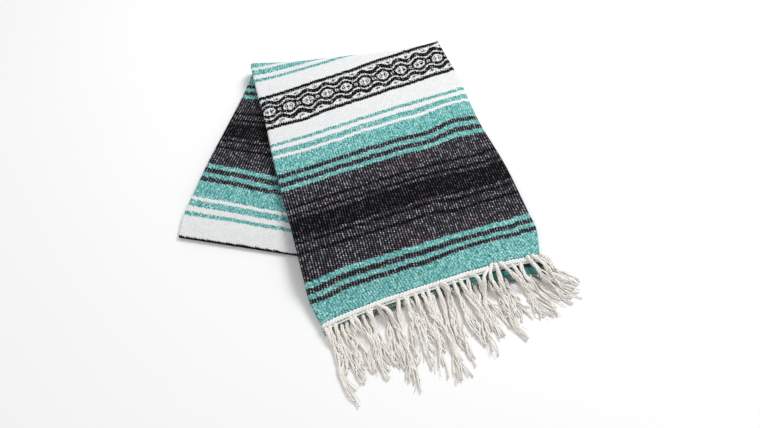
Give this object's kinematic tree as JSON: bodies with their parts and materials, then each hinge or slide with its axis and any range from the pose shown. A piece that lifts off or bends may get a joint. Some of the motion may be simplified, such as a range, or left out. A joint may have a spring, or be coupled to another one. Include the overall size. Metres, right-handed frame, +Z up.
{
  "type": "folded blanket",
  "caption": "Striped woven falsa blanket with fringed ends, folded into a long strip and laid back over itself on a flat surface.",
  "frame": {"origin": "middle of the footprint on the surface that the blanket lies on", "axes": "+Z up, +Y from the fringed hems towards the top fold, +X to the right as seen from the hems"},
  "size_m": [0.5715, 0.6105, 0.0321],
  "materials": {
    "teal_cloth": "matte",
    "charcoal_cloth": "matte",
    "cream_cloth": "matte"
  },
  "bodies": {
    "root": {"upper_stretch": "teal_cloth", "lower_stretch": "charcoal_cloth", "folded_layers": "teal_cloth", "upper_hem": "cream_cloth", "lower_hem": "cream_cloth", "upper_fringe": "cream_cloth", "lower_fringe": "cream_cloth"}
  },
  "joints": []
}
